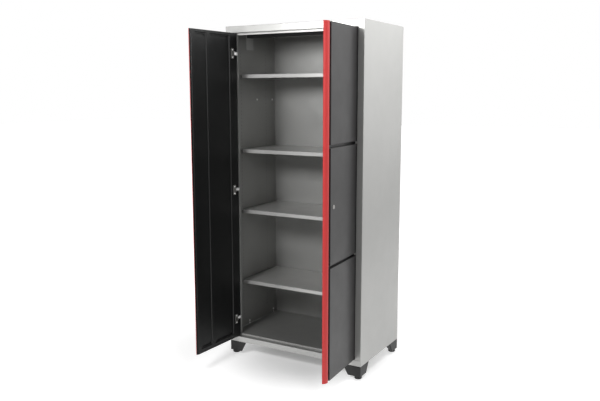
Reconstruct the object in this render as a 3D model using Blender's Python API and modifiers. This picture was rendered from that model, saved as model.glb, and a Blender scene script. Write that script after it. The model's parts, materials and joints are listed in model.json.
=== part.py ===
"""A two-door steel tool cabinet with four shelves, standing on levelling feet, its doors open.

Metres, +Z up, facing -Y. The carcass is built in a frame whose origin is the middle of the front
plane at the underside of the carcass. Each door is built closed, in the frame of its hinge axis, and
is then swung open. Along a closed door, u runs from the hinge axis to the free edge and v runs from
the outer face to the inside.
"""

import math

import bmesh
import bpy
from mathutils import Matrix, Vector

# Carcass
WIDTH = 0.900
DEPTH = 0.545
CARCASS_HEIGHT = 1.925
SHEET = 0.0010
BEND = 0.0020
REAR_FLANGE = 0.015
BACK_FLANGE = 0.012

# Face frame and the stop lips behind the doors
STILE = 0.038
FASCIA = 0.038
RAIL = 0.035
RAIL_HEM = 0.020
STOP_SET = 0.030
SIDE_LIP = 0.024
TOP_LIP = 0.013
FLOOR_LIP = 0.012
LIP_HEM = 0.012

# Channel under the top, with a plate at each end
CHANNEL_FRONT = 0.219
CHANNEL_WIDTH = 0.059
CHANNEL_DEPTH = 0.052
END_PLATE_TAB = 0.010
END_PLATE_DROP = 0.070

# Shelves and their clips
SHELF_TOPS = (1.650, 1.195, 0.817, 0.363)
SHELF_FRONT = 0.130
SHELF_LIP = 0.0225
SHELF_HEM = 0.012
SHELF_END_GAP = 0.008
SHELF_BACK_GAP = 0.004
LIP_NOTCH = 0.012
CLIP_FRONT = 0.150
CLIP_REAR = 0.430
CLIP_WIDTH = 0.014
CLIP_SHEET = 0.0015
CLIP_LEDGE = 0.020
CLIP_RISE = 0.018

# Feet
FOOT_BLOCK_HEIGHT = 0.061
FOOT_BLOCK_TOP = 0.114
FOOT_BLOCK_TAPER = 0.033
FOOT_BLOCK_TIP = 0.007
FOOT_BLOCK_ROUND = 0.002
LEVELLER_INSET = 0.026
LEVELLER_RADIUS = 0.022
LEVELLER_HEIGHT = 0.018
LEVELLER_ROUND = 0.004
STEM_RADIUS = 0.005
STEM_LENGTH = 0.032

# Doors
DOOR_THICKNESS = 0.025
DOOR_SHEET = 0.0008
DOOR_GAP = 0.002
MEETING_GAP = 0.004
LEFT_OPEN = math.radians(93)
RIGHT_OPEN = math.radians(93)
OUTER_DEPTH = 0.015
HINGE_ROLL = 0.009
PANEL_GAP = 0.014
PANEL_ROUND = 0.004
FINGER_GAP = 0.020
HANDLE_WIDTH = 0.032
HANDLE_FLAT = 0.002
HANDLE_EDGE = 0.019
HANDLE_EDGE_SLOPE = 0.0012
HANDLE_COVE = 0.006
HANDLE_COVE_SET = 0.002
HANDLE_END_ROUND = 0.0015
LINER_SET = 0.010
LINER_ROUND = 0.003

# Two pressed pans in each liner, with a slot at both ends of each
PAN_HINGE_MARGIN = 0.058
PAN_RIB = 0.024
LOCK_PAN_WIDTH = 0.100
PAN_TIP_MARGIN = 0.039
PAN_DEPTH = 0.004
PAN_TOP_MARGIN = 0.014
PAN_BOTTOM_MARGIN = 0.024
SLOT_HEIGHT = 0.012
SLOT_INSET = 0.013

# Hinges
HINGE_SPREAD = 0.806
PIN_RADIUS = 0.0025
PIN_CLEARANCE = 0.0001
BARREL_RADIUS = 0.0045
ARM_HALF_HEIGHT = 0.008
ARM_NECK = 0.005
ARM_CRANK = 0.0105
ARM_FOOT_THICKNESS = 0.003
ARM_FOOT_REACH = 0.0075
EAR_RADIUS = 0.0055
EAR_SHEET = 0.003
EAR_CLEARANCE = 0.0005
EAR_SHOULDER = 0.014
POCKET_HALF_HEIGHT = 0.0135
POCKET_LENGTH = 0.020
PLATE_START = 0.022
PLATE_WIDTH = 0.024
PLATE_HEIGHT = 0.060
PLATE_THICKNESS = 0.003
PLATE_ROUND = 0.004

# Lock
LOCK_SET = 0.040
LOCK_HEAD_RADIUS = 0.011
LOCK_HEAD_HEIGHT = 0.0022
LOCK_BARREL_RADIUS = 0.009
LOCK_NUT_RADIUS = 0.013
LOCK_NUT_HEIGHT = 0.003
PLUG_RADIUS = 0.0062
PLUG_CLEARANCE = 0.0003
KEYWAY = (0.0014, 0.0070, 0.0030)
CAM_RADIUS = 0.008
CAM_SHEET = 0.0025
CAM_GRIP = 0.022
CAM_CLEARANCE = 0.0015

# Fits and facets
SEAT = 0.0003
OVERCUT = 0.010
WELD = 0.000001
ARC_STEPS = 4
ROUND_STEPS = 24

HALF_WIDTH = WIDTH / 2
FOOT_HEIGHT = FOOT_BLOCK_HEIGHT + LEVELLER_HEIGHT
JAMB = HALF_WIDTH - STILE
LIP_EDGE = JAMB - SIDE_LIP
WALL_FACE = HALF_WIDTH - SHEET
CORNER_KEPT = HALF_WIDTH - BEND - SEAT
INNER_HALF = CORNER_KEPT - SEAT
TOP_REAR = DEPTH - SHEET - SEAT
BACK_REAR = TOP_REAR - SHEET - SEAT
BACK_FACE = BACK_REAR - SHEET
FLOOR_TOP = RAIL + FLOOR_LIP
FASCIA_FOOT = CARCASS_HEIGHT - FASCIA
UNDER_TOP = CARCASS_HEIGHT - SHEET - SEAT
SHELF_HALF = WALL_FACE - SHELF_END_GAP
SHELF_REAR = BACK_FACE - SHELF_BACK_GAP

AXIS_X = JAMB - DOOR_GAP - HINGE_ROLL
DOOR_LOW = RAIL + DOOR_GAP
DOOR_HIGH = FASCIA_FOOT - DOOR_GAP
DOOR_MIDDLE = (DOOR_LOW + DOOR_HIGH) / 2
PANEL_HEIGHT = (DOOR_HIGH - DOOR_LOW - 2 * PANEL_GAP) / 3
TIP = AXIS_X - MEETING_GAP / 2
HANDLE_START = TIP - HANDLE_WIDTH
HANDLE_RUN = HANDLE_WIDTH - HANDLE_FLAT
HANDLE_NOSE = (HANDLE_RUN**2 + HANDLE_EDGE**2) / (2 * HANDLE_EDGE)
PANEL_END = HANDLE_START - FINGER_GAP
LOCK_AT = PANEL_END - LOCK_SET
SKIN_FACE = OUTER_DEPTH + SEAT
LINER_FACE = SKIN_FACE + DOOR_SHEET + SEAT
LINER_END = TIP - LINER_SET
LOCK_PAN_END = TIP - PAN_TIP_MARGIN
LOCK_PAN_START = LOCK_PAN_END - LOCK_PAN_WIDTH
PAN_SPANS = ((PAN_HINGE_MARGIN, LOCK_PAN_START - PAN_RIB), (LOCK_PAN_START, LOCK_PAN_END))
EAR_START = ARM_HALF_HEIGHT + EAR_CLEARANCE
EAR_END = EAR_START + EAR_SHEET
HINGE_HEIGHTS = {
    "top": DOOR_MIDDLE + HINGE_SPREAD,
    "middle": DOOR_MIDDLE,
    "bottom": DOOR_MIDDLE - HINGE_SPREAD,
}

SIDES = {"left": -1, "right": 1}
OPEN_ANGLES = {"left": -LEFT_OPEN, "right": RIGHT_OPEN}
PARTS = "tool_cabinet"
HELPERS = "tool_cabinet_cutters"

# How an outline's own axes lie when it is extruded along each axis
EXTRUDED = {
    "X": Matrix(((0, 0, 1, 0), (1, 0, 0, 0), (0, 1, 0, 0), (0, 0, 0, 1))),
    "Y": Matrix(((1, 0, 0, 0), (0, 0, -1, 0), (0, 1, 0, 0), (0, 0, 0, 1))),
    "Z": Matrix.Identity(4),
}
DIRECTIONS = {"X": Vector((1, 0, 0)), "Y": Vector((0, 1, 0)), "Z": Vector((0, 0, 1))}


def clear_scene():
    for old in list(bpy.data.objects):
        bpy.data.objects.remove(old, do_unlink=True)
    for name in (PARTS, HELPERS):
        bpy.context.scene.collection.children.link(bpy.data.collections.new(name))


def finish(name, colour, roughness, metallic):
    made = bpy.data.materials.new(name)
    made.use_nodes = True
    shader = made.node_tree.nodes["Principled BSDF"]
    shader.inputs["Base Color"].default_value = (*colour, 1)
    shader.inputs["Roughness"].default_value = roughness
    shader.inputs["Metallic"].default_value = metallic
    return made


def finishes():
    return {
        "silver": finish("silver_paint", (0.55, 0.55, 0.53), 0.42, 0.35),
        "shelf": finish("shelf_paint", (0.33, 0.33, 0.32), 0.45, 0.30),
        "panel": finish("graphite_paint", (0.075, 0.072, 0.072), 0.42, 0.25),
        "black": finish("black_paint", (0.012, 0.013, 0.015), 0.40, 0.05),
        "red": finish("red_profile", (0.48, 0.035, 0.040), 0.35, 0.0),
        "chrome": finish("hinge_nickel", (0.62, 0.62, 0.60), 0.25, 1.0),
        "plastic": finish("foot_plastic", (0.020, 0.020, 0.019), 0.55, 0.0),
    }


def empty(name, parent, location):
    made = bpy.data.objects.new(name, None)
    bpy.context.scene.collection.objects.link(made)
    made.parent = parent
    made.location = location
    return made


def part(name, mesh, paint, parent, location=(0, 0, 0)):
    made = bpy.data.objects.new(name, mesh)
    bpy.data.collections[PARTS].objects.link(made)
    made.parent = parent
    made.location = location
    if not mesh.materials:
        mesh.materials.append(paint)
    return made


def combine(target, mesh, operation="DIFFERENCE"):
    """Cuts a helper solid from the target, or joins it on, with a Boolean."""
    helper = bpy.data.objects.new(mesh.name, mesh)
    bpy.data.collections[HELPERS].objects.link(helper)
    helper.parent = target.parent
    helper.location = target.location
    helper.rotation_euler = target.rotation_euler
    helper.hide_render = True
    helper.display_type = "WIRE"
    step = target.modifiers.new(mesh.name, "BOOLEAN")
    step.operation = operation
    step.solver = "EXACT"
    step.object = helper


def arc(centre, radius, start, end, steps=ARC_STEPS):
    """Points on an arc from one angle in degrees to another."""
    points = []
    for i in range(steps + 1):
        angle = math.radians(start + (end - start) * i / steps)
        points.append(Vector((centre[0] + radius * math.cos(angle), centre[1] + radius * math.sin(angle))))
    return points


def fillet(before, corner, after, radius):
    """Points of the arc that rounds one corner."""
    corner = Vector(corner)
    back = (Vector(before) - corner).normalized()
    ahead = (Vector(after) - corner).normalized()
    half = back.angle(ahead) / 2
    centre = corner + (back + ahead).normalized() * (radius / math.sin(half))
    first = corner + back * (radius / math.tan(half)) - centre
    last = corner + ahead * (radius / math.tan(half)) - centre
    start = math.degrees(math.atan2(first.y, first.x))
    sweep = math.degrees(first.angle_signed(last))
    return arc(centre, radius, start, start - sweep)


def rounded(path, radius):
    """An open path with every corner filleted."""
    points = [Vector(path[0])]
    for before, corner, after in zip(path, path[1:], path[2:]):
        points += fillet(before, corner, after, radius)
    return points + [Vector(path[-1])]


def rounded_loop(points, radius):
    """A closed outline with every corner filleted."""
    outline = []
    for i, corner in enumerate(points):
        outline += fillet(points[i - 1], corner, points[(i + 1) % len(points)], radius)
    return outline


def moved_left(path, distance):
    """An open path moved sideways, to its left by a positive distance, with mitred corners."""
    moved = []
    for i, point in enumerate(path):
        steps = [b - a for a, b in zip(path[max(i - 1, 0):i + 1], path[max(i - 1, 0) + 1:i + 2])]
        normals = [Vector((-step.y, step.x)).normalized() for step in steps]
        middle = sum(normals, Vector((0, 0))).normalized()
        moved.append(point + middle * (distance / middle.dot(normals[0])))
    return moved


def folded(path, thickness):
    """Outline of a sheet folded along a path, its thickness to the left, or to the right if negative."""
    face = rounded(path, BEND)
    return face + moved_left(face, thickness)[::-1]


def prism(name, outlines, low, high, along="Z"):
    """A flat outline, with any holes after it, extruded from low to high along an axis."""
    curve = bpy.data.curves.new(name, "CURVE")
    curve.dimensions = "2D"
    curve.fill_mode = "BOTH"
    curve.extrude = (high - low) / 2
    for outline in outlines:
        spline = curve.splines.new("POLY")
        spline.points.add(len(outline) - 1)
        for point, place in zip(spline.points, outline):
            point.co = (place[0], place[1], 0, 1)
        spline.use_cyclic_u = True
    shape = bpy.data.objects.new(name, curve)
    bpy.context.scene.collection.objects.link(shape)
    graph = bpy.context.evaluated_depsgraph_get()
    mesh = bpy.data.meshes.new_from_object(shape.evaluated_get(graph))
    mesh.name = name
    bpy.data.objects.remove(shape)
    bpy.data.curves.remove(curve)
    work = bmesh.new()
    work.from_mesh(mesh)
    bmesh.ops.remove_doubles(work, verts=work.verts, dist=WELD)
    bmesh.ops.dissolve_limit(work, angle_limit=math.radians(0.5), verts=work.verts, edges=work.edges)
    bmesh.ops.recalc_face_normals(work, faces=work.faces)
    bmesh.ops.transform(work, matrix=EXTRUDED[along], verts=work.verts)
    bmesh.ops.translate(work, vec=DIRECTIONS[along] * (low + high) / 2, verts=work.verts)
    work.to_mesh(mesh)
    work.free()
    return mesh


def boxes(name, *corners):
    """One mesh of boxes, each given by two opposite corners."""
    work = bmesh.new()
    for one, other in corners:
        size = [abs(a - b) for a, b in zip(one, other)]
        middle = (Vector(one) + Vector(other)) / 2
        place = Matrix.Translation(middle) @ Matrix.Diagonal((*size, 1))
        bmesh.ops.create_cube(work, size=1, matrix=place)
    mesh = bpy.data.meshes.new(name)
    work.to_mesh(mesh)
    work.free()
    return mesh


def cylinder(name, radius, start, end):
    """A round bar between two points."""
    start = Vector(start)
    end = Vector(end)
    turn = (end - start).to_track_quat("Z", "Y").to_matrix().to_4x4()
    work = bmesh.new()
    bmesh.ops.create_cone(
        work,
        cap_ends=True,
        segments=ROUND_STEPS,
        radius1=radius,
        radius2=radius,
        depth=(end - start).length,
        matrix=Matrix.Translation((start + end) / 2) @ turn,
    )
    mesh = bpy.data.meshes.new(name)
    work.to_mesh(mesh)
    work.free()
    return mesh


def turned(name, profile, closed=False):
    """A profile of (radius, height) points, run down its outer side."""
    edges = [(i, i + 1) for i in range(len(profile) - 1)]
    if closed:
        edges.append((len(profile) - 1, 0))
    mesh = bpy.data.meshes.new(name)
    mesh.from_pydata([(radius, 0, height) for radius, height in profile], edges, [])
    return mesh


def spin(target):
    """Turns the target's profile round its own Z axis."""
    screw = target.modifiers.new("turn", "SCREW")
    screw.axis = "Z"
    screw.steps = ROUND_STEPS
    screw.render_steps = ROUND_STEPS
    screw.use_merge_vertices = True
    screw.merge_threshold = WELD
    screw.use_smooth_shade = True


def both_sides(side, outline):
    """An outline drawn on the right, or its mirror image on the left."""
    return [(side * x, y) for x, y in outline]


def side_panel(word, paint, carcass):
    """Wall, rear flange, stile, jamb and stop lip, folded from one sheet."""
    side = SIDES[word]
    path = [
        (HALF_WIDTH - REAR_FLANGE, DEPTH),
        (HALF_WIDTH, DEPTH),
        (HALF_WIDTH, 0),
        (JAMB, 0),
        (JAMB, STOP_SET),
        (LIP_EDGE, STOP_SET),
        (LIP_EDGE, STOP_SET + LIP_HEM),
    ]
    name = word + "_side_panel"
    panel = part(name, prism(name, [both_sides(side, folded(path, -SHEET))], 0, CARCASS_HEIGHT), paint, carcass)
    inner = side * (LIP_EDGE - OVERCUT)
    outer = side * CORNER_KEPT
    behind = STOP_SET + LIP_HEM + OVERCUT
    fascia_room = ((inner, -OVERCUT, FASCIA_FOOT - SEAT), (outer, behind, CARCASS_HEIGHT + OVERCUT))
    rail_room = ((inner, -OVERCUT, -OVERCUT), (outer, behind, RAIL + SEAT))
    combine(panel, boxes(name + "_frame_room", fascia_room, rail_room))


def lip_ends(name, low, high, behind):
    """The ends of a cross panel's stop lip, where the stiles' own lips stand."""
    front = STOP_SET - BEND - 2 * SEAT
    return boxes(
        name,
        *(
            ((side * (LIP_EDGE - SEAT), front, low), (side * (HALF_WIDTH + OVERCUT), behind, high))
            for side in SIDES.values()
        ),
    )


def top_panel(paint, carcass):
    path = [
        (TOP_REAR, CARCASS_HEIGHT - REAR_FLANGE),
        (TOP_REAR, CARCASS_HEIGHT),
        (0, CARCASS_HEIGHT),
        (0, FASCIA_FOOT),
        (STOP_SET, FASCIA_FOOT),
        (STOP_SET, FASCIA_FOOT - TOP_LIP),
        (STOP_SET + LIP_HEM, FASCIA_FOOT - TOP_LIP),
    ]
    mesh = prism("top_panel", [folded(path, SHEET)], -INNER_HALF, INNER_HALF, "X")
    panel = part("top_panel", mesh, paint, carcass)
    low = FASCIA_FOOT - TOP_LIP - OVERCUT
    high = FASCIA_FOOT + FASCIA / 2
    combine(panel, lip_ends("top_panel_lip_ends", low, high, STOP_SET + LIP_HEM + OVERCUT))


def floor_panel(paint, carcass):
    rear = BACK_FACE - 2 * SEAT
    path = [
        (RAIL_HEM, 0),
        (0, 0),
        (0, RAIL),
        (STOP_SET, RAIL),
        (STOP_SET, FLOOR_TOP),
        (rear, FLOOR_TOP),
        (rear, 0),
    ]
    mesh = prism("floor_panel", [folded(path, -SHEET)], -INNER_HALF, INNER_HALF, "X")
    panel = part("floor_panel", mesh, paint, carcass)
    behind = STOP_SET + LIP_HEM + SEAT
    combine(panel, lip_ends("floor_panel_lip_ends", RAIL / 2, FLOOR_TOP + OVERCUT, behind))


def back_panel(paint, carcass):
    half = WALL_FACE - SEAT
    front = BACK_REAR - BACK_FLANGE
    path = [(-half, front), (-half, BACK_REAR), (half, BACK_REAR), (half, front)]
    part("back_panel", prism("back_panel", [folded(path, -SHEET)], 0, UNDER_TOP - SEAT), paint, carcass)


def top_crossmember(paint, carcass):
    """Channel under the top, welded to a plate on each side wall."""
    rear = CHANNEL_FRONT + CHANNEL_WIDTH
    foot = UNDER_TOP - CHANNEL_DEPTH
    plate_face = WALL_FACE - SEAT
    path = [(CHANNEL_FRONT, UNDER_TOP), (CHANNEL_FRONT, foot), (rear, foot), (rear, UNDER_TOP)]
    mesh = prism("top_crossmember", [folded(path, SHEET)], SHEET / 2 - plate_face, plate_face - SHEET / 2, "X")
    channel = part("top_crossmember", mesh, paint, carcass)
    for word, side in SIDES.items():
        plate = boxes(
            "top_crossmember_plate_" + word,
            (
                (side * (plate_face - SHEET), CHANNEL_FRONT - END_PLATE_TAB, foot - END_PLATE_DROP),
                (side * plate_face, rear + END_PLATE_TAB, UNDER_TOP - SEAT),
            ),
        )
        combine(channel, plate, "UNION")


def shelf(number, top, paint, carcass):
    """Inverted tray: front and rear lips with hems, a flange at each end, notched front corners."""
    name = f"shelf_{number}"
    path = [
        (SHELF_FRONT + SHELF_HEM, -SHELF_LIP),
        (SHELF_FRONT, -SHELF_LIP),
        (SHELF_FRONT, 0),
        (SHELF_REAR, 0),
        (SHELF_REAR, -SHELF_LIP),
        (SHELF_REAR - SHELF_HEM, -SHELF_LIP),
    ]
    mesh = prism(name, [folded(path, -SHEET)], -SHELF_HALF, SHELF_HALF, "X")
    tray = part(name, mesh, paint, carcass, (0, 0, top))
    for word, side in SIDES.items():
        notch = boxes(
            f"{name}_notch_{word}",
            (
                (side * (SHELF_HALF - LIP_NOTCH), SHELF_FRONT - OVERCUT, -SHELF_LIP - OVERCUT),
                (side * (SHELF_HALF + OVERCUT), SHELF_FRONT + SHELF_HEM + SEAT, -BEND - SHEET),
            ),
        )
        combine(tray, notch)
        flange = boxes(
            f"{name}_flange_{word}",
            (
                (side * (SHELF_HALF - SHEET), SHELF_FRONT + SHELF_HEM + BEND, -SHELF_LIP),
                (side * (SHELF_HALF - SEAT / 2), SHELF_REAR - SHELF_HEM - BEND, -SHEET / 2),
            ),
        )
        combine(tray, flange, "UNION")


def shelf_clips(number, top, paint, carcass):
    """Four angle clips on the side walls, under the shelf's end flanges."""
    face = WALL_FACE - SEAT
    path = [(face, CLIP_SHEET + CLIP_RISE), (face, 0), (face - CLIP_LEDGE, 0)]
    ledge_foot = top - SHELF_LIP - SEAT - CLIP_SHEET
    for word, side in SIDES.items():
        outline = both_sides(side, folded(path, -CLIP_SHEET))
        for place, middle in (("front", CLIP_FRONT), ("rear", CLIP_REAR)):
            name = f"shelf_{number}_clip_{word}_{place}"
            mesh = prism(name, [outline], middle - CLIP_WIDTH / 2, middle + CLIP_WIDTH / 2, "Y")
            part(name, mesh, paint, carcass, (0, 0, ledge_foot))


def foot_block(name, paint, corner, side, inward):
    """Three-cornered block: upright outer faces flush with the carcass, the inner faces sloping in to a smaller foot."""
    work = bmesh.new()
    rings = []
    for length, height in (
        (FOOT_BLOCK_TOP, -SEAT),
        (FOOT_BLOCK_TOP - FOOT_BLOCK_TAPER, -FOOT_BLOCK_HEIGHT),
    ):
        plan = [(0, 0), (length, 0), (length, FOOT_BLOCK_TIP), (FOOT_BLOCK_TIP, length), (0, length)]
        rings.append([work.verts.new((-side * x, inward * y, height)) for x, y in plan])
    top, foot = rings
    work.faces.new(top)
    work.faces.new(foot)
    for i in range(len(top)):
        work.faces.new((top[i - 1], top[i], foot[i], foot[i - 1]))
    bmesh.ops.recalc_face_normals(work, faces=work.faces)
    mesh = bpy.data.meshes.new(name)
    work.to_mesh(mesh)
    work.free()
    block = part(name, mesh, paint, corner)
    soften = block.modifiers.new("round", "BEVEL")
    soften.width = FOOT_BLOCK_ROUND
    soften.segments = 2
    x = -side * LEVELLER_INSET
    y = inward * LEVELLER_INSET
    roof = STEM_LENGTH - FOOT_BLOCK_HEIGHT
    bore = cylinder(name + "_bore", STEM_RADIUS + SEAT, (x, y, roof), (x, y, -FOOT_BLOCK_HEIGHT - OVERCUT))
    combine(block, bore)


def levelling_foot(name, paint, corner, side, inward):
    """Round pad on a stem that goes up into its block."""
    pad_top = -SEAT
    pad_foot = -LEVELLER_HEIGHT
    profile = [
        (0, STEM_LENGTH - 2 * SEAT),
        (STEM_RADIUS, STEM_LENGTH - 2 * SEAT),
        (STEM_RADIUS, pad_top),
        (LEVELLER_RADIUS, pad_top),
    ]
    profile += arc(
        (LEVELLER_RADIUS - LEVELLER_ROUND, pad_foot + LEVELLER_ROUND),
        LEVELLER_ROUND,
        0,
        -90,
    )
    profile.append((0, pad_foot))
    place = (-side * LEVELLER_INSET, inward * LEVELLER_INSET, -FOOT_BLOCK_HEIGHT)
    spin(part(name, turned(name, profile), paint, corner, place))


def feet(paint, carcass):
    for word, side in SIDES.items():
        for end, y, inward in (("front", 0, 1), ("rear", DEPTH, -1)):
            corner = empty(f"{end}_{word}_corner", carcass, (side * HALF_WIDTH, y, 0))
            foot_block(f"foot_block_{end}_{word}", paint, corner, side, inward)
            levelling_foot(f"levelling_foot_{end}_{word}", paint, corner, side, inward)


def on_door(side, outline):
    """Points (u, v) of a closed door in the frame of its hinge axis."""
    return [(-side * u, v - HINGE_ROLL) for u, v in outline]


def on_door_box(side, one, other):
    """A box given by two (u, v, z) corners, in the frame of the door's hinge axis."""
    return tuple((-side * u, v - HINGE_ROLL, z) for u, v, z in (one, other))


def hinge_pockets(name, side, front):
    """Openings in a door's hinge edge, from a depth inwards, where the hinge arms reach in to their pins."""
    return boxes(
        name,
        *(
            on_door_box(
                side,
                (-HINGE_ROLL - OVERCUT, front, height - POCKET_HALF_HEIGHT),
                (POCKET_LENGTH, DOOR_THICKNESS + OVERCUT, height + POCKET_HALF_HEIGHT),
            )
            for height in HINGE_HEIGHTS.values()
        ),
    )


def mark_level_edges(work):
    """Marks the level edges that lie between two faces, for a bevel to round."""
    weight = work.edges.layers.float.new("bevel_weight_edge")
    for edge in work.edges:
        level = abs(edge.verts[0].co.z - edge.verts[1].co.z) < WELD
        edge[weight] = 1.0 if level and not edge.is_boundary else 0.0


def outer_panel(name, side, low, paint, axis):
    """Shallow tray with a rolled hinge edge, open at the back."""
    path = [Vector((PANEL_END, OUTER_DEPTH))]
    path += arc((PANEL_END - PANEL_ROUND, PANEL_ROUND), PANEL_ROUND, 0, -90)
    path += arc((0, HINGE_ROLL), HINGE_ROLL, -90, -180, 2 * ARC_STEPS)
    path.append(Vector((-HINGE_ROLL, OUTER_DEPTH)))
    mesh = prism(name, [on_door(side, path)], low, low + PANEL_HEIGHT)
    work = bmesh.new()
    work.from_mesh(mesh)
    depth = OUTER_DEPTH - HINGE_ROLL
    back = [face for face in work.faces if all(abs(v.co.y - depth) < WELD for v in face.verts)]
    bmesh.ops.delete(work, geom=back, context="FACES")
    mark_level_edges(work)
    work.to_mesh(mesh)
    work.free()
    panel = part(name, mesh, paint, axis)
    soften = panel.modifiers.new("round", "BEVEL")
    soften.limit_method = "WEIGHT"
    soften.width = PANEL_ROUND
    soften.segments = ARC_STEPS - 1
    shell = panel.modifiers.new("sheet", "SOLIDIFY")
    shell.thickness = DOOR_SHEET
    shell.offset = -1
    shell.use_even_offset = True
    combine(panel, hinge_pockets(name + "_pocket", side, HINGE_ROLL + EAR_CLEARANCE))
    return panel


def door_skin(name, side, paint, axis):
    """Flat sheet behind the panels and the handle, which floors the grooves and the finger recess."""
    corners = on_door_box(
        side,
        (-HINGE_ROLL, SKIN_FACE, DOOR_LOW),
        (LINER_END, SKIN_FACE + DOOR_SHEET, DOOR_HIGH),
    )
    skin = part(name, boxes(name, corners), paint, axis)
    combine(skin, hinge_pockets(name + "_pockets", side, OUTER_DEPTH - OVERCUT))
    return skin


def tapered_pan(name, side, span, low, high, depth, grow):
    """A shallow pan pressed in from the inner face, with sloping sides; grow makes it larger all round."""
    start, end = span
    mouth = DOOR_THICKNESS + (SEAT if grow == 0 else -grow / 2)
    floor = DOOR_THICKNESS - depth - grow
    mesh = boxes(
        name,
        on_door_box(side, (start - grow, floor, low - grow), (end + grow, mouth, high + grow)),
    )
    middle_x = sum(v.co.x for v in mesh.vertices) / len(mesh.vertices)
    middle_z = sum(v.co.z for v in mesh.vertices) / len(mesh.vertices)
    deep = min(v.co.y for v in mesh.vertices) + WELD
    for vertex in mesh.vertices:
        if vertex.co.y < deep:
            vertex.co.x -= math.copysign(depth, vertex.co.x - middle_x)
            vertex.co.z -= math.copysign(depth, vertex.co.z - middle_z)
    return mesh


def door_liner(name, side, paint, axis):
    """Pressed inner tray: flanged edges, two shallow pans with a slot at each end, hinge pockets."""
    foot = LINER_FACE
    inside = DOOR_THICKNESS
    path = [(-HINGE_ROLL, foot), (-HINGE_ROLL, inside), (LINER_END, inside), (LINER_END, foot)]
    outline = rounded(path, LINER_ROUND)
    liner = part(name, prism(name, [on_door(side, outline)], DOOR_LOW, DOOR_HIGH), paint, axis)

    room = moved_left(outline, -DOOR_SHEET)
    room[0].y -= OVERCUT
    room[-1].y -= OVERCUT
    hollow = prism(name + "_hollow", [on_door(side, room)], DOOR_LOW + DOOR_SHEET, DOOR_HIGH - DOOR_SHEET)
    combine(liner, hollow)

    low = DOOR_LOW + PAN_BOTTOM_MARGIN
    high = DOOR_HIGH - PAN_TOP_MARGIN
    for i, span in enumerate(PAN_SPANS):
        combine(liner, tapered_pan(f"{name}_pan_{i}", side, span, low, high, PAN_DEPTH, DOOR_SHEET), "UNION")
        combine(liner, tapered_pan(f"{name}_recess_{i}", side, span, low, high, PAN_DEPTH, 0))
        deep = DOOR_THICKNESS - PAN_DEPTH - OVERCUT / 2
        start = span[0] + SLOT_INSET
        end = span[1] - SLOT_INSET
        inset = 2 * PAN_DEPTH
        slots = [
            on_door_box(side, (start, deep, near), (end, DOOR_THICKNESS, near + SLOT_HEIGHT))
            for near in (low + inset, high - inset - SLOT_HEIGHT)
        ]
        combine(liner, boxes(f"{name}_slots_{i}", *slots))
    combine(liner, hinge_pockets(name + "_pockets", side, OUTER_DEPTH))
    return liner


def door_handle(name, side, paint, axis):
    """Full-height profile at the free edge: sweeping nose in front, finger cove, and a lip over the liner's end."""
    cove_u = HANDLE_START - HANDLE_COVE_SET
    reach = math.degrees(math.acos(HANDLE_COVE_SET / HANDLE_COVE))
    lip = HANDLE_EDGE + HANDLE_EDGE_SLOPE
    step = LINER_END + SEAT
    last = math.degrees(math.acos(HANDLE_RUN / HANDLE_NOSE))
    outline = [Vector((HANDLE_START, OUTER_DEPTH))]
    outline += arc((cove_u, OUTER_DEPTH / 2), HANDLE_COVE, reach, -reach, 2 * ARC_STEPS)
    outline += [Vector((HANDLE_START, SEAT)), Vector((HANDLE_START + SEAT, 0))]
    outline += arc((TIP - HANDLE_RUN, HANDLE_NOSE), HANDLE_NOSE, -90, -last, 3 * ARC_STEPS)
    outline += [
        Vector((TIP - HANDLE_EDGE_SLOPE, lip)),
        Vector((step, lip)),
        Vector((step, OUTER_DEPTH)),
    ]
    mesh = prism(name, [on_door(side, outline)], DOOR_LOW, DOOR_HIGH)
    work = bmesh.new()
    work.from_mesh(mesh)
    mark_level_edges(work)
    work.to_mesh(mesh)
    work.free()
    handle = part(name, mesh, paint, axis)
    soften = handle.modifiers.new("round", "BEVEL")
    soften.limit_method = "WEIGHT"
    soften.width = HANDLE_END_ROUND
    soften.segments = 2


def hinge_arm(name, side, height, paint, jamb):
    """Cranked arm from the stop lip to the hinge pin, with the pin's barrel at its end."""
    neck = ARM_NECK / 2
    lip = STOP_SET - HINGE_ROLL - SEAT
    inner = ARM_CRANK - neck
    outer = ARM_CRANK + neck
    slant = ARM_NECK / math.sqrt(2)
    spread = math.degrees(math.asin(neck / BARREL_RADIUS))
    outline = arc((0, 0), BARREL_RADIUS, 45 + spread, 405 - spread, 3 * ARC_STEPS)
    outline += [
        Vector((outer, outer - slant)),
        Vector((outer, lip)),
        Vector((-ARM_FOOT_REACH, lip)),
        Vector((-ARM_FOOT_REACH, lip - ARM_FOOT_THICKNESS)),
        Vector((inner, lip - ARM_FOOT_THICKNESS)),
        Vector((inner, inner + slant)),
    ]
    bore = arc((0, 0), PIN_RADIUS + PIN_CLEARANCE, 0, 360, ROUND_STEPS)[:-1]
    shapes = [[(-side * p, q) for p, q in shape] for shape in (outline, bore)]
    part(name, prism(name, shapes, -ARM_HALF_HEIGHT, ARM_HALF_HEIGHT), paint, jamb, (0, 0, height))


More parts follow.
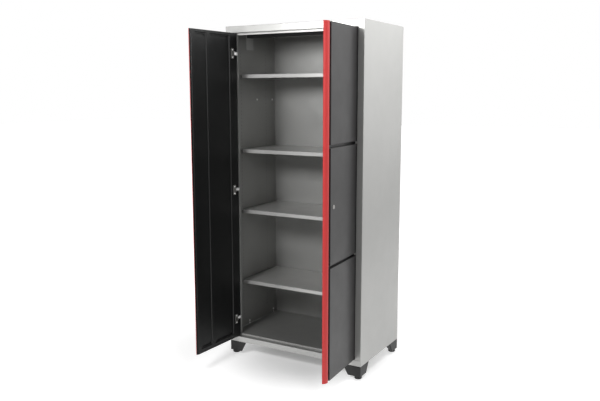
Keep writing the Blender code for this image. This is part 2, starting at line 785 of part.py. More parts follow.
def hinge_plate(name, side, height, paint, axis):
    """Plate on the liner, with two ears that reach into the pocket and carry the pin."""
    face = DOOR_THICKNESS + SEAT - HINGE_ROLL
    plate_end = PLATE_START + PLATE_WIDTH
    half = PLATE_HEIGHT / 2
    corners = [
        (-side * PLATE_START, -half),
        (-side * plate_end, -half),
        (-side * plate_end, half),
        (-side * PLATE_START, half),
    ]
    outline = rounded_loop(corners, PLATE_ROUND)
    mesh = prism(name, [outline], face, face + PLATE_THICKNESS, "Y")
    plate = part(name, mesh, paint, axis, (0, 0, height))
    rim = POCKET_LENGTH - EAR_CLEARANCE
    ear = arc((0, 0), EAR_RADIUS, 120, 300, 2 * ARC_STEPS)
    ear += [
        Vector((rim, face - PAN_DEPTH)),
        Vector((rim, face + EAR_CLEARANCE)),
        Vector((PLATE_START + PLATE_ROUND, face + EAR_CLEARANCE)),
        Vector((PLATE_START + PLATE_ROUND, face + PLATE_THICKNESS - EAR_CLEARANCE)),
        Vector((EAR_SHOULDER, face + PLATE_THICKNESS - EAR_CLEARANCE)),
    ]
    ear = [(-side * u, w) for u, w in ear]
    combine(plate, prism(name + "_upper_ear", [ear], EAR_START, EAR_END), "UNION")
    combine(plate, prism(name + "_lower_ear", [ear], -EAR_END, -EAR_START), "UNION")
    pin_end = EAR_END + EAR_CLEARANCE
    combine(plate, cylinder(name + "_pin", PIN_RADIUS, (0, 0, -pin_end), (0, 0, pin_end)), "UNION")


def lock_hole(name, side):
    """Round hole through the right door for the lock's barrel."""
    radius = LOCK_BARREL_RADIUS + SEAT
    start = (-side * LOCK_AT, -HINGE_ROLL - OVERCUT, DOOR_MIDDLE)
    end = (-side * LOCK_AT, DOOR_THICKNESS - HINGE_ROLL + OVERCUT, DOOR_MIDDLE)
    return cylinder(name, radius, start, end)


def lock(side, paint, axis):
    """Lock housing with its nut, and the cylinder that turns in it with a latch arm at its back."""
    place = (-side * LOCK_AT, -HINGE_ROLL, DOOR_MIDDLE)
    facing = (math.radians(90), 0, 0)
    bore = PLUG_RADIUS + PLUG_CLEARANCE
    nut_face = PAN_DEPTH - DOOR_THICKNESS - SEAT
    nut_back = nut_face - LOCK_NUT_HEIGHT
    housing_back = min(nut_back, -DOOR_THICKNESS) - 2 * SEAT
    head = SEAT + LOCK_HEAD_HEIGHT
    edge = LOCK_HEAD_HEIGHT / 2
    profile = [
        (bore, head),
        (LOCK_HEAD_RADIUS - edge, head),
        (LOCK_HEAD_RADIUS, head - edge),
        (LOCK_HEAD_RADIUS, SEAT),
        (LOCK_BARREL_RADIUS, SEAT),
        (LOCK_BARREL_RADIUS, nut_face),
        (LOCK_NUT_RADIUS, nut_face),
        (LOCK_NUT_RADIUS, nut_back),
        (LOCK_BARREL_RADIUS, nut_back),
        (LOCK_BARREL_RADIUS, housing_back),
        (bore, housing_back),
    ]
    housing = part("lock_housing", turned("lock_housing", profile, closed=True), paint, axis, place)
    housing.rotation_euler = facing
    spin(housing)

    cam_face = housing_back - CAM_CLEARANCE
    cam_back = cam_face - CAM_SHEET
    profile = [(0, head - SEAT), (PLUG_RADIUS, head - SEAT), (PLUG_RADIUS, cam_back + SEAT), (0, cam_back + SEAT)]
    plug = part("lock_cylinder", turned("lock_cylinder", profile), paint, axis, place)
    plug.rotation_euler = facing
    spin(plug)
    reach = TIP - LOCK_AT + MEETING_GAP + CAM_GRIP
    outline = arc((0, 0), CAM_RADIUS, 0, 180, 2 * ARC_STEPS)
    outline += arc((0, CAM_RADIUS - reach), CAM_RADIUS, 180, 360, 2 * ARC_STEPS)
    combine(plug, prism("lock_cylinder_latch_arm", [outline], cam_back, cam_face), "UNION")
    width, height, depth = KEYWAY
    keyway = ((-width / 2, -height / 2, head - depth), (width / 2, height / 2, head + OVERCUT))
    combine(plug, boxes("lock_cylinder_keyway", keyway))


def door(word, paints, carcass):
    side = SIDES[word]
    place = (side * AXIS_X, HINGE_ROLL, 0)
    jamb = empty(word + "_hinge_line", carcass, place)
    axis = empty(word + "_door_axis", carcass, place)
    axis.rotation_euler = (0, 0, OPEN_ANGLES[word])
    panels = []
    for i, level in enumerate(("bottom", "middle", "top")):
        low = DOOR_LOW + i * (PANEL_HEIGHT + PANEL_GAP)
        panels.append(outer_panel(f"{word}_door_panel_{level}", side, low, paints["panel"], axis))
    skin = door_skin(word + "_door_skin", side, paints["panel"], axis)
    liner = door_liner(word + "_door_liner", side, paints["black"], axis)
    door_handle(word + "_door_handle", side, paints["red"], axis)
    for level, height in HINGE_HEIGHTS.items():
        hinge_arm(f"{word}_hinge_arm_{level}", side, height, paints["chrome"], jamb)
        hinge_plate(f"{word}_hinge_plate_{level}", side, height, paints["chrome"], axis)
    if word == "right":
        for pierced in (panels[1], skin, liner):
            combine(pierced, lock_hole(pierced.name + "_lock_hole", side))
        lock(side, paints["chrome"], axis)


def stand_on_origin(cabinet):
    """Moves the cabinet so that the middle of its base, doors included, is the origin."""
    bpy.context.view_layer.update()
    graph = bpy.context.evaluated_depsgraph_get()
    corners = []
    for piece in bpy.data.collections[PARTS].objects:
        shape = piece.evaluated_get(graph)
        corners += [shape.matrix_world @ vertex.co for vertex in shape.data.vertices]
    for axis in (0, 1):
        reach = [corner[axis] for corner in corners]
        cabinet.location[axis] -= (min(reach) + max(reach)) / 2


def main():
    clear_scene()
    paints = finishes()
    cabinet = empty("cabinet", None, (0, 0, 0))
    carcass = empty("carcass", cabinet, (0, 0, FOOT_HEIGHT))
    for word in SIDES:
        side_panel(word, paints["silver"], carcass)
    top_panel(paints["silver"], carcass)
    floor_panel(paints["silver"], carcass)
    back_panel(paints["silver"], carcass)
    top_crossmember(paints["silver"], carcass)
    for number, top in enumerate(SHELF_TOPS, 1):
        shelf(number, top, paints["shelf"], carcass)
        shelf_clips(number, top, paints["chrome"], carcass)
    feet(paints["plastic"], carcass)
    for word in SIDES:
        door(word, paints, carcass)
    stand_on_origin(cabinet)


main()
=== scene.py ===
"""Studio scene of the tool cabinet: materials for every solid, small fasteners, floor, light and camera."""

import json
import math

import bmesh
import bpy
from mathutils import Matrix, Vector


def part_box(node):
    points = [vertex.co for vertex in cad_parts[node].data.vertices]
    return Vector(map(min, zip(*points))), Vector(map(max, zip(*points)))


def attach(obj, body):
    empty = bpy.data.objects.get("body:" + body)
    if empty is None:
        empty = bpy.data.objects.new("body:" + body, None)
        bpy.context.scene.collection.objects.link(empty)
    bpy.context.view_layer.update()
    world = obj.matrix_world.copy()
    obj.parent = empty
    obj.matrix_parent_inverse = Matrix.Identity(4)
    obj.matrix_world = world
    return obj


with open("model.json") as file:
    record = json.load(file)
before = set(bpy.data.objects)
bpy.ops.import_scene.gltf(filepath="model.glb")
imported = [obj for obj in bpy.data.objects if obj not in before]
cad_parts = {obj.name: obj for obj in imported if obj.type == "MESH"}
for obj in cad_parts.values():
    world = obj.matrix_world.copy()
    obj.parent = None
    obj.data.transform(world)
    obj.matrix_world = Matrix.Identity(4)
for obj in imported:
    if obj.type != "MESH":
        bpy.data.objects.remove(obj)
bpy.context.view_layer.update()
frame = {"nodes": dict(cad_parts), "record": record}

# Where the carcass and the doors stand, from the frame, in metres
SIDES = {"left": -1, "right": 1}
SHEET = 0.001
PANEL_LOW, PANEL_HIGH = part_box("right_side_panel")
FRONT = PANEL_LOW[1]
UNDERSIDE = PANEL_LOW[2]
WALL_FACE = PANEL_HIGH[0] - SHEET
JOINTS = {joint["name"]: joint for joint in frame["record"]["behaviour"]["joints"]}
HINGE_X, HINGE_Y = JOINTS["right_door_hinge"]["pos_m"][:2]
DOORS_OPEN = math.radians(-JOINTS["right_door_hinge"]["range_deg"][0])
PLATE_BOXES = [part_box(f"right_hinge_plate_{level}") for level in ("top", "middle", "bottom")]
HINGE_HEIGHTS = [(low[2] + high[2]) / 2 for low, high in PLATE_BOXES]

# Rows of slots for the shelf clips, on the side panels' inner faces
SLOT_COLUMNS = (0.0725, 0.3525)
SLOT_PITCH = 0.022
SLOT_SIZE = (0.0026, 0.009)
SLOT_SPAN = (0.20, 1.86)
FACE_TOLERANCE = 0.0004

# Screws in the side walls as (y, z)
WALL_SCREWS = (
    (0.247, 1.576), (0.426, 1.575), (0.425, 1.977),
    (0.134, 0.147), (0.134, 0.1307), (0.425, 0.147), (0.425, 0.1307),
)
WALL_SCREW_RADIUS = 0.0058

# Screws on the hinge plates as (distance from the axis, height from the middle), and the plates' outer face
# as its distance from the axis
PLATE_SCREWS = ((0.034, 0.021), (0.034, -0.021))
PLATE_FACE = 0.01901
PLATE_SCREW_RADIUS = 0.0042

# A screw head's rise and cross recess as shares of its radius, its rings as shares of radius and rise,
# and the recess's floor as a share of the rise
HEAD_RISE = 0.70
HEAD_SIDES = 12
HEAD_RINGS = ((1.0, -0.15), (1.0, 0.35), (0.90, 0.70), (0.72, 0.93))
CROSS_REACH = 0.52
CROSS_HALF_WIDTH = 0.14
CROSS_FLOOR = 0.45


# Materials

# Colours
SILVER = (0.36, 0.36, 0.35)
# A darker copy of the silver on the side walls' inner faces: painted shade of the cabinet's interior
INNER_SHADE = (0.30, 0.30, 0.292)
# A darker copy of the silver for the back panel: painted shade of the cabinet's interior
BACK = (0.33, 0.33, 0.322)
# A lighter copy of the silver for the shelves: painted light on their lit front lips
SHELF_PAINTED_LIGHT = (0.42, 0.42, 0.41)
# A lighter copy of the silver on the top panel's front faces: painted light on the fascia
FASCIA_PAINTED_LIGHT = (0.58, 0.58, 0.565)
# A lighter copy of the silver on the floor panel's front rail and other faces: painted light
RAIL_PAINTED_LIGHT = (0.43, 0.43, 0.42)
# A darker grey on the floor panel's upward faces: painted shade of the cabinet's floor
FLOOR_PANEL_SHADE = (0.25, 0.25, 0.244)
# A near-black on the crossmember's channel: painted shade under the top; its end plates keep a grey
BRACE_SHADE = (0.036, 0.036, 0.036)
BRACE_PLATE_GREY = (0.38, 0.38, 0.37)
SLOT = (0.09, 0.09, 0.087)
GRAPHITE = (0.0150, 0.0143, 0.0147)
BLACK = (0.0066, 0.0068, 0.0070)
RED = (0.44, 0.034, 0.034)
PLASTIC = (0.011, 0.011, 0.0107)
NICKEL = (0.40, 0.39, 0.375)
# A near-white nickel for the hinge arms and screw heads: painted highlight
NICKEL_HIGHLIGHT = (0.93, 0.93, 0.91)
ZINC = (0.38, 0.38, 0.37)

# The silver coat's roughness and its share of metal flake
SILVER_ROUGHNESS = 0.34
SILVER_METAL = 0.50

# Texture scales, as features in a metre
CLOUD_SCALE = 2.3
PATCH_SCALE = 11
SLOT_GRAIN = 300
LINE_SCALE = 600
FLAKE_SCALE = 1400

# Most values of a noise texture lie in this range
NOISE_RANGE = (0.3, 0.7)

# Shades of a colour as (place on the ramp, factor)
FLECK_SHADES = ((0.2, 0.72), (0.5, 1.0), (0.8, 1.28))
LINE_SHADES = ((0.3, 0.80), (0.7, 1.15))
FLAKE_SHARE = 0.5

# How far roughness wanders either way on paint and on plating
PAINT_WANDER = 0.04
PLATE_WANDER = 0.07

# Fine relief and softened edges
RELIEF_STRENGTH = 0.15
LINE_DEPTH = 0.00005
PLATE_EDGE = 0.0006
EDGE_SAMPLES = 4

# A face counts as turned along an axis as its normal's share of that axis goes through this range
TURNED_RANGE = (0.2, 0.3)


def new_material(name):
    made = bpy.data.materials.new(name)
    made.use_nodes = True
    return made, made.node_tree, made.node_tree.nodes["Principled BSDF"]


def add(tree, kind, **settings):
    node = tree.nodes.new(kind)
    for key, value in settings.items():
        setattr(node, key, value)
    return node


def noise(tree, place, scale, detail=2.0, stretch=None):
    """A noise texture in the piece's own coordinates, stretched along its axes if asked."""
    source = place.outputs["Object"]
    if stretch:
        mapping = add(tree, "ShaderNodeMapping")
        mapping.inputs["Scale"].default_value = stretch
        tree.links.new(source, mapping.inputs["Vector"])
        source = mapping.outputs["Vector"]
    texture = add(tree, "ShaderNodeTexNoise")
    texture.inputs["Scale"].default_value = scale
    texture.inputs["Detail"].default_value = detail
    tree.links.new(source, texture.inputs["Vector"])
    return texture.outputs["Fac"]


def mapped(tree, value, span, low=0.0, high=1.0, **settings):
    """A value that goes from low to high as another goes through a span."""
    node = add(tree, "ShaderNodeMapRange", **settings)
    node.inputs["From Min"].default_value, node.inputs["From Max"].default_value = span
    node.inputs["To Min"].default_value = low
    node.inputs["To Max"].default_value = high
    tree.links.new(value, node.inputs["Value"])
    return node.outputs["Result"]


def around(tree, value, middle, wander):
    """A noise spread evenly on both sides of a middle value."""
    return mapped(tree, value, NOISE_RANGE, middle - wander, middle + wander)


def calculate(tree, operation, value, *others):
    """A sum on a value; the others may be values or plain numbers."""
    node = add(tree, "ShaderNodeMath", operation=operation)
    tree.links.new(value, node.inputs[0])
    for i, other in enumerate(others, 1):
        if isinstance(other, (int, float)):
            node.inputs[i].default_value = other
        else:
            tree.links.new(other, node.inputs[i])
    return node.outputs["Value"]


def shaded(tree, value, colour, shades):
    """Shades of one colour along a value."""
    node = add(tree, "ShaderNodeValToRGB")
    points = node.color_ramp.elements
    while len(points) < len(shades):
        points.new(0.5)
    for point, (place, factor) in zip(points, shades):
        point.position = place
        point.color = (*(min(channel * factor, 1.0) for channel in colour), 1)
    tree.links.new(value, node.inputs["Fac"])
    return node.outputs["Color"]


def chosen(tree, share, plain, other):
    """The plain colour where the share is nought, and the other where it is one."""
    node = add(tree, "ShaderNodeMix", data_type="RGBA")
    tree.links.new(share, node.inputs["Factor"])
    tree.links.new(plain, node.inputs["A"])
    tree.links.new(other, node.inputs["B"])
    return node.outputs["Result"]


def axes(tree, vector):
    """A vector's three values, by axis."""
    split = add(tree, "ShaderNodeSeparateXYZ")
    tree.links.new(vector, split.inputs["Vector"])
    return {axis: split.outputs[axis] for axis in "XYZ"}


def facing_share(tree, place, axis, sign):
    """One on faces turned along an axis, in the sign's direction or either way where the sign is 0."""
    way = axes(tree, place.outputs["Normal"])[axis]
    if not sign:
        way = calculate(tree, "ABSOLUTE", way)
    return mapped(tree, way, [(sign or 1) * limit for limit in TURNED_RANGE])


def relief(tree, shader, height, depth, edge):
    """Fine relief on the surface, and edges that take the light as if they were rounded."""
    soft = add(tree, "ShaderNodeBevel", samples=EDGE_SAMPLES)
    soft.inputs["Radius"].default_value = edge
    bump = add(tree, "ShaderNodeBump")
    bump.inputs["Strength"].default_value = RELIEF_STRENGTH
    bump.inputs["Distance"].default_value = depth
    tree.links.new(height, bump.inputs["Height"])
    tree.links.new(soft.outputs["Normal"], bump.inputs["Normal"])
    tree.links.new(bump.outputs["Normal"], shader.inputs["Normal"])


def painted(name, colour, roughness, metallic=0.0, grain=700, grain_height=0.00004, flake=0.03, cloud=0.03,
            edge=0.0008, turned=None, gloss=0.5):
    """Powder-coated sheet: faint clouding, fine flake, an orange-peel surface and softened edges.

    turned is an axis, a sign and the colour of the faces turned that way along it; on the carcass it makes
    lighter faces as painted light and darker faces as painted shade.
    """
    made, tree, shader = new_material(name)
    place = add(tree, "ShaderNodeTexCoord")
    clouds = around(tree, noise(tree, place, CLOUD_SCALE, detail=4.0), 0.5, cloud)
    flakes = around(tree, noise(tree, place, FLAKE_SCALE), 0.0, flake)
    mottle = calculate(tree, "MULTIPLY_ADD", flakes, FLAKE_SHARE, clouds)
    tint = shaded(tree, mottle, colour, FLECK_SHADES)
    if turned:
        axis, sign, other = turned
        share = facing_share(tree, place, axis, sign)
        tint = chosen(tree, share, tint, shaded(tree, mottle, other, FLECK_SHADES))
    tree.links.new(tint, shader.inputs["Base Color"])
    patches = noise(tree, place, PATCH_SCALE, detail=3.0)
    tree.links.new(around(tree, patches, roughness, PAINT_WANDER), shader.inputs["Roughness"])
    shader.inputs["Metallic"].default_value = metallic
    shader.inputs["Specular IOR Level"].default_value = gloss
    relief(tree, shader, noise(tree, place, grain), grain_height, edge)
    return made


def silver_coat(name, colour, turned=None):
    """The carcass's coat, in one of its greys; the lighter and darker copies are painted light and painted
    shade.
    """
    return painted(name, colour, SILVER_ROUGHNESS, SILVER_METAL, turned=turned)


def profile_coat(name, sign):
    """The handle profile's red, and black on its faces turned along X in the sign's direction."""
    return painted(name, RED, roughness=0.40, grain=500, flake=0.04, turned=("X", sign, BLACK), gloss=0.25)


def within(tree, value, middle, half):
    """One where a value is within half of the middle, else nought."""
    return calculate(tree, "COMPARE", value, middle, half)


def slotted(made):
    """Rows of small upright slots, seen as dark marks on the inner face of a side panel."""
    tree = made.node_tree
    shader = tree.nodes["Principled BSDF"]
    plain = shader.inputs["Base Color"].links[0].from_socket
    place = add(tree, "ShaderNodeTexCoord")
    at = axes(tree, place.outputs["Object"])
    front, rear = SLOT_COLUMNS
    low, high = SLOT_SPAN
    width, height = SLOT_SIZE
    on_wall = within(tree, calculate(tree, "ABSOLUTE", at["X"]), WALL_FACE, FACE_TOLERANCE)
    from_middle = calculate(tree, "ABSOLUTE", calculate(tree, "SUBTRACT", at["Y"], (front + rear) / 2))
    in_column = within(tree, from_middle, (rear - front) / 2, width / 2)
    in_row = within(tree, calculate(tree, "WRAP", at["Z"], SLOT_PITCH, 0.0), SLOT_PITCH / 2, height / 2)
    in_span = within(tree, at["Z"], (low + high) / 2, (high - low) / 2)
    mask = on_wall
    for limit in (in_column, in_row, in_span):
        mask = calculate(tree, "MULTIPLY", mask, limit)
    dark = shaded(tree, noise(tree, place, SLOT_GRAIN), SLOT, FLECK_SHADES)
    tree.links.new(chosen(tree, mask, plain, dark), shader.inputs["Base Color"])
    return made


def plated(name, colour, roughness, stretch, metallic=1.0):
    """Plated metal with fine drawing lines along one direction."""
    made, tree, shader = new_material(name)
    place = add(tree, "ShaderNodeTexCoord")
    lines = noise(tree, place, LINE_SCALE, detail=3.0, stretch=stretch)
    tree.links.new(shaded(tree, lines, colour, LINE_SHADES), shader.inputs["Base Color"])
    tree.links.new(around(tree, lines, roughness, PLATE_WANDER), shader.inputs["Roughness"])
    shader.inputs["Metallic"].default_value = metallic
    relief(tree, shader, lines, LINE_DEPTH, PLATE_EDGE)
    return made


silver = silver_coat("silver_powder_coat", SILVER)
# The back panel's darker grey is painted shade
back_shaded_silver = silver_coat("back_painted_shade_coat", BACK)
# The shelves' lighter grey is painted light
shelf_painted_light = silver_coat("shelf_painted_light_coat", SHELF_PAINTED_LIGHT)
# The top panel's front faces are lighter as painted light
fascia_painted_light_silver = silver_coat("fascia_painted_light_coat", SILVER, ("Y", -1, FASCIA_PAINTED_LIGHT))
# The floor panel: rail lighter as painted light, upward faces darker as painted shade
floor_panel_light_and_shade = silver_coat("floor_panel_light_and_shade_coat", RAIL_PAINTED_LIGHT, ("Z", 1, FLOOR_PANEL_SHADE))
# Side walls: inner faces in a darker copy of the silver as painted shade, with the slot marks on them
wall_left = slotted(silver_coat("left_wall_inner_shade_coat", SILVER, ("X", 1, INNER_SHADE)))
wall_right = slotted(silver_coat("right_wall_inner_shade_coat", SILVER, ("X", -1, INNER_SHADE)))
# The crossmember's channel is near black as painted shade, its end plates grey
brace_painted_shade = painted("brace_painted_shade_coat", BRACE_SHADE, roughness=0.40, turned=("X", 0, BRACE_PLATE_GREY))
graphite = painted("graphite_powder_coat", GRAPHITE, roughness=0.36, flake=0.06, gloss=0.42)
black = painted("black_powder_coat", BLACK, roughness=0.38, flake=0.06, gloss=0.3)
red_left = profile_coat("left_profile_coat", 1)
red_right = profile_coat("right_profile_coat", -1)
plastic = painted("moulded_black_plastic", PLASTIC, roughness=0.55, grain=1600, grain_height=0.0001,
                  edge=0.0012)
nickel = plated("nickel_plate", NICKEL, roughness=0.34, stretch=(1, 1, 0.05))
# Near-white, barely metallic nickel: painted highlight
nickel_highlight = plated("nickel_highlight_plate", NICKEL_HIGHLIGHT, roughness=0.36, stretch=(1, 1, 0.05),
                       metallic=0.15)
zinc = plated("zinc_plate", ZINC, roughness=0.36, stretch=(1, 1, 0.08))

SLOT_LOOKS = {
    "silver_paint": silver,
    "shelf_paint": shelf_painted_light,
    "graphite_paint": graphite,
    "black_paint": black,
    "red_profile": red_right,
    "hinge_nickel": nickel,
    "zinc": zinc,
    "foot_plastic": plastic,
}

NODE_LOOKS = {
    "left_side_panel": wall_left,
    "right_side_panel": wall_right,
    "top_panel": fascia_painted_light_silver,
    "floor_panel": floor_panel_light_and_shade,
    "back_panel": back_shaded_silver,
    "top_crossmember": brace_painted_shade,
    "left_door_handle": red_left,
    "left_door_skin": black,
    "right_door_skin": black,
}

for entry in frame["record"]["subparts"]:
    piece = frame["nodes"][entry["node"]]
    piece.data.materials.clear()
    look = NODE_LOOKS.get(entry["node"], SLOT_LOOKS[entry["material_slot"]])
    # Hinge arms take the near-white nickel, a painted highlight
    if "hinge_arm" in entry["node"]:
        look = nickel_highlight
    piece.data.materials.append(look)


# Small screws

def screw_head(work, place, outward, radius):
    """A low domed head with a cross recess, its foot just inside the sheet it holds."""
    turn = Matrix.Translation(place) @ outward.to_track_quat("Z", "Y").to_matrix().to_4x4()
    rise = HEAD_RISE * radius
    arm = CROSS_REACH * radius
    half = CROSS_HALF_WIDTH * radius
    cross = []
    for quarter in range(4):
        spin = Matrix.Rotation(quarter * math.pi / 2, 2)
        cross += [spin @ Vector(point) for point in ((arm, half), (half, half), (half, arm))]
    angles = [math.tau * (k + 0.5) / HEAD_SIDES for k in range(HEAD_SIDES)]
    circle = [radius * Vector((math.cos(angle), math.sin(angle))) for angle in angles]
    levels = [([reach * point for point in circle], height) for reach, height in HEAD_RINGS]
    levels += [(cross, 1.0), (cross, CROSS_FLOOR)]
    rings = []
    for flat, height in levels:
        rings.append([work.verts.new(turn @ Vector((*point, rise * height))) for point in flat])
    for below, above in zip(rings, rings[1:]):
        for k in range(HEAD_SIDES):
            following = (k + 1) % HEAD_SIDES
            work.faces.new((below[k], below[following], above[following], above[k]))
    work.faces.new(rings[-1])
    work.faces.new(list(reversed(rings[0])))


def screws(name, body, look, heads, radius):
    """One mesh of several screw heads, given as (place, outward direction)."""
    work = bmesh.new()
    for place, outward in heads:
        screw_head(work, place, outward, radius)
    mesh = bpy.data.meshes.new(name)
    work.to_mesh(mesh)
    work.free()
    mesh.materials.append(look)
    piece = bpy.data.objects.new(name, mesh)
    bpy.context.scene.collection.objects.link(piece)
    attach(piece, body)


def wall_heads(side):
    """Heads on the inner face of a side wall."""
    inward = Vector((-side, 0, 0))
    return [(Vector((side * WALL_FACE, y, z)), inward) for y, z in WALL_SCREWS]


def plate_heads(side):
    """Heads on the hinge plates of a door that stands open, two on each plate."""
    along = Vector((-side * math.cos(DOORS_OPEN), -math.sin(DOORS_OPEN), 0))
    facing = Vector((-side * math.sin(DOORS_OPEN), math.cos(DOORS_OPEN), 0))
    heads = []
    for height in HINGE_HEIGHTS:
        for out, up in PLATE_SCREWS:
            axis = Vector((side * HINGE_X, HINGE_Y, height + up))
            heads.append((axis + out * along + PLATE_FACE * facing, facing))
    return heads


# Screw heads in the near-white nickel, a painted highlight
for word, side in SIDES.items():
    screws(f"{word}_wall_screws", "carcass", nickel_highlight, wall_heads(side),
           WALL_SCREW_RADIUS)
    screws(f"{word}_hinge_screws", f"{word}_door", nickel_highlight, plate_heads(side),
           PLATE_SCREW_RADIUS)


# Floor, light and camera

# Soft glows of the surroundings as (direction, sharpness, strength)
GLOWS = (
    ((1, 1, 0.22), 6, 2.15),
    ((1, 0.2, 0.9), 4, 0.03),
)

# Soft boxes as (name, place, target, size, watts)
SOFT_BOXES = (
    ("key", (-0.35, -2.32, 2.2), (0, 0.2, 1.2), (0.8, 0.5), 50),
    ("front", (0.0, -4.2, 2.85), (0, 0.2, 1.2), (0.9, 0.9), 50),
    ("front_right", (2.9, -2.6, 2.3), (0, 0, 1.1), (0.9, 1.2), 32),
    ("right_top", (1.2, 0.25, 2.7), (0.45, 0.2, 1.6), (0.7, 0.9), 31),
)

FLOOR_SIZE = 60
FLOOR_TONE = (0.66, 0.66, 0.66)
FLOOR_SHADES = ((0.3, 1.0), (0.7, 0.69 / 0.66))
FLOOR_CLOUD_SCALE = 0.8
FLOOR_ROUGHNESS = 0.6

# The floor's own glow, painted light: least under the cabinet as a painted shadow, more around it, white
# behind it, to its left and far off, and dimmer some way to its right. Each span is where a change starts
# and ends, in metres
GLOW_IN_PAINTED_SHADOW = 0.19
GLOW_AROUND = 0.45
GLOW_BEHIND = 0.50
GLOW_DIM = 0.6
GLOW_MIDDLE = (0, 0.1, 0)
BACKWARD = (-0.866, 0.5, 0)
RIGHTWARD = (0.99, 0.12, 0)
AROUND_SPAN = (0.2, 0.6)
AWAY_SPAN = (0.7, 1.6)
BACKWARD_SPAN = (-0.8, 0.8)
RIGHTWARD_SPAN = (2.6, 1.7)
FAR_SPAN = (6.0, 18.0)

# The photo's camera: angles in degrees, focal length and picture width in the photo's pixels, and its place
# from the cabinet's middle, front and underside
CAMERA_YAW = -30.06
CAMERA_PITCH = 8.71
CAMERA_ROLL = -0.06
FOCAL_PIXELS = 698.4
PICTURE_PIXELS = 600
SENSOR_WIDTH = 36
CAMERA_RIGHT = 2.043
CAMERA_BEFORE = 3.435
CAMERA_ABOVE = 1.535
CAMERA_RANGE = 200


def graded(tree, place, operation, vector, span):
    """Nought to one as the place's distance from a point, or along a direction, goes through a span."""
    measure = add(tree, "ShaderNodeVectorMath", operation=operation)
    tree.links.new(place.outputs["Object"], measure.inputs[0])
    measure.inputs[1].default_value = vector
    return mapped(tree, measure.outputs["Value"], span, interpolation_type="SMOOTHSTEP")


def painted_floor_light(tree, place):
    """Strength of the floor's own glow: painted light, with a painted shadow under the cabinet."""
    near = graded(tree, place, "DISTANCE", GLOW_MIDDLE, AROUND_SPAN)
    away = graded(tree, place, "DISTANCE", GLOW_MIDDLE, AWAY_SPAN)
    behind = calculate(tree, "MULTIPLY", away, graded(tree, place, "DOT_PRODUCT", BACKWARD, BACKWARD_SPAN))
    glow = calculate(tree, "MULTIPLY_ADD", near, GLOW_AROUND, GLOW_IN_PAINTED_SHADOW)
    glow = calculate(tree, "MULTIPLY_ADD", behind, GLOW_BEHIND, glow)
    bright = graded(tree, place, "DOT_PRODUCT", RIGHTWARD, RIGHTWARD_SPAN)
    glow = calculate(tree, "MULTIPLY", glow, calculate(tree, "MULTIPLY_ADD", bright, 1 - GLOW_DIM, GLOW_DIM))
    return calculate(tree, "MAXIMUM", glow, graded(tree, place, "DISTANCE", GLOW_MIDDLE, FAR_SPAN))


def floor():
    """A plain pale floor with faint clouding, and a glow of painted light with a painted shadow under the
    cabinet.
    """
    bpy.ops.mesh.primitive_plane_add(size=FLOOR_SIZE, location=(0, 0, 0))
    ground = bpy.context.object
    ground.name = "studio_floor"
    made, tree, shader = new_material("pale_floor")
    place = add(tree, "ShaderNodeTexCoord")
    clouds = noise(tree, place, FLOOR_CLOUD_SCALE, detail=3.0)
    tree.links.new(shaded(tree, clouds, FLOOR_TONE, FLOOR_SHADES), shader.inputs["Base Color"])
    shader.inputs["Roughness"].default_value = FLOOR_ROUGHNESS
    shader.inputs["Emission Color"].default_value = (1, 1, 1, 1)
    tree.links.new(painted_floor_light(tree, place), shader.inputs["Emission Strength"])
    ground.data.materials.append(made)


def area_light(name, place, target, size, power):
    lamp = bpy.data.lights.new(name, "AREA")
    lamp.shape = "RECTANGLE"
    lamp.size, lamp.size_y = size
    lamp.energy = power
    made = bpy.data.objects.new(name, lamp)
    bpy.context.scene.collection.objects.link(made)
    made.location = place
    made.rotation_euler = (Vector(target) - Vector(place)).to_track_quat("-Z", "Y").to_euler()


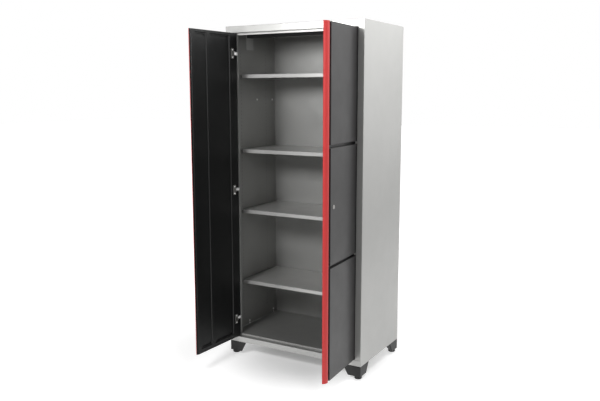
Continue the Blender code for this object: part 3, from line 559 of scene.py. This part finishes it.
def surroundings():
    """White for the camera; for everything else soft glows by direction."""
    world = bpy.data.worlds.new("studio")
    world.use_nodes = True
    tree = world.node_tree
    seen = tree.nodes["Background"]
    seen.inputs["Color"].default_value = (1, 1, 1, 1)
    seen.inputs["Strength"].default_value = 1.0
    place = add(tree, "ShaderNodeTexCoord")
    total = 0.0
    for direction, sharpness, strength in GLOWS:
        towards = add(tree, "ShaderNodeVectorMath", operation="DOT_PRODUCT")
        tree.links.new(place.outputs["Generated"], towards.inputs[0])
        towards.inputs[1].default_value = Vector(direction).normalized()
        lobe = calculate(tree, "MAXIMUM", towards.outputs["Value"], 0.0)
        lobe = calculate(tree, "POWER", lobe, sharpness)
        total = calculate(tree, "MULTIPLY_ADD", lobe, strength, total)
    dome = add(tree, "ShaderNodeBackground")
    tree.links.new(total, dome.inputs["Color"])
    rays = add(tree, "ShaderNodeLightPath")
    mix = add(tree, "ShaderNodeMixShader")
    tree.links.new(rays.outputs["Is Camera Ray"], mix.inputs["Fac"])
    tree.links.new(dome.outputs["Background"], mix.inputs[1])
    tree.links.new(seen.outputs["Background"], mix.inputs[2])
    tree.links.new(mix.outputs["Shader"], tree.nodes["World Output"].inputs["Surface"])
    bpy.context.scene.world = world


def photo_camera():
    """The camera that took the photo, as solved from the carcass's corners."""
    yaw = math.radians(CAMERA_YAW)
    pitch = math.radians(CAMERA_PITCH)
    roll = math.radians(CAMERA_ROLL)
    ahead = Vector((math.sin(yaw) * math.cos(pitch), math.cos(yaw) * math.cos(pitch), -math.sin(pitch)))
    level = Vector((math.cos(yaw), -math.sin(yaw), 0))
    upright = level.cross(ahead)
    right = math.cos(roll) * level + math.sin(roll) * upright
    above = math.cos(roll) * upright - math.sin(roll) * level
    lens = bpy.data.cameras.new("photo_camera")
    lens.sensor_width = SENSOR_WIDTH
    lens.lens = FOCAL_PIXELS / PICTURE_PIXELS * SENSOR_WIDTH
    lens.clip_end = CAMERA_RANGE
    made = bpy.data.objects.new("photo_camera", lens)
    bpy.context.scene.collection.objects.link(made)
    turn = Matrix((right, above, -ahead)).transposed().to_4x4()
    spot = (CAMERA_RIGHT, FRONT - CAMERA_BEFORE, UNDERSIDE + CAMERA_ABOVE)
    made.matrix_world = Matrix.Translation(spot) @ turn
    bpy.context.scene.camera = made


floor()
surroundings()
for soft_box in SOFT_BOXES:
    area_light(*soft_box)
photo_camera()
bpy.context.scene.view_settings.view_transform = "Standard"
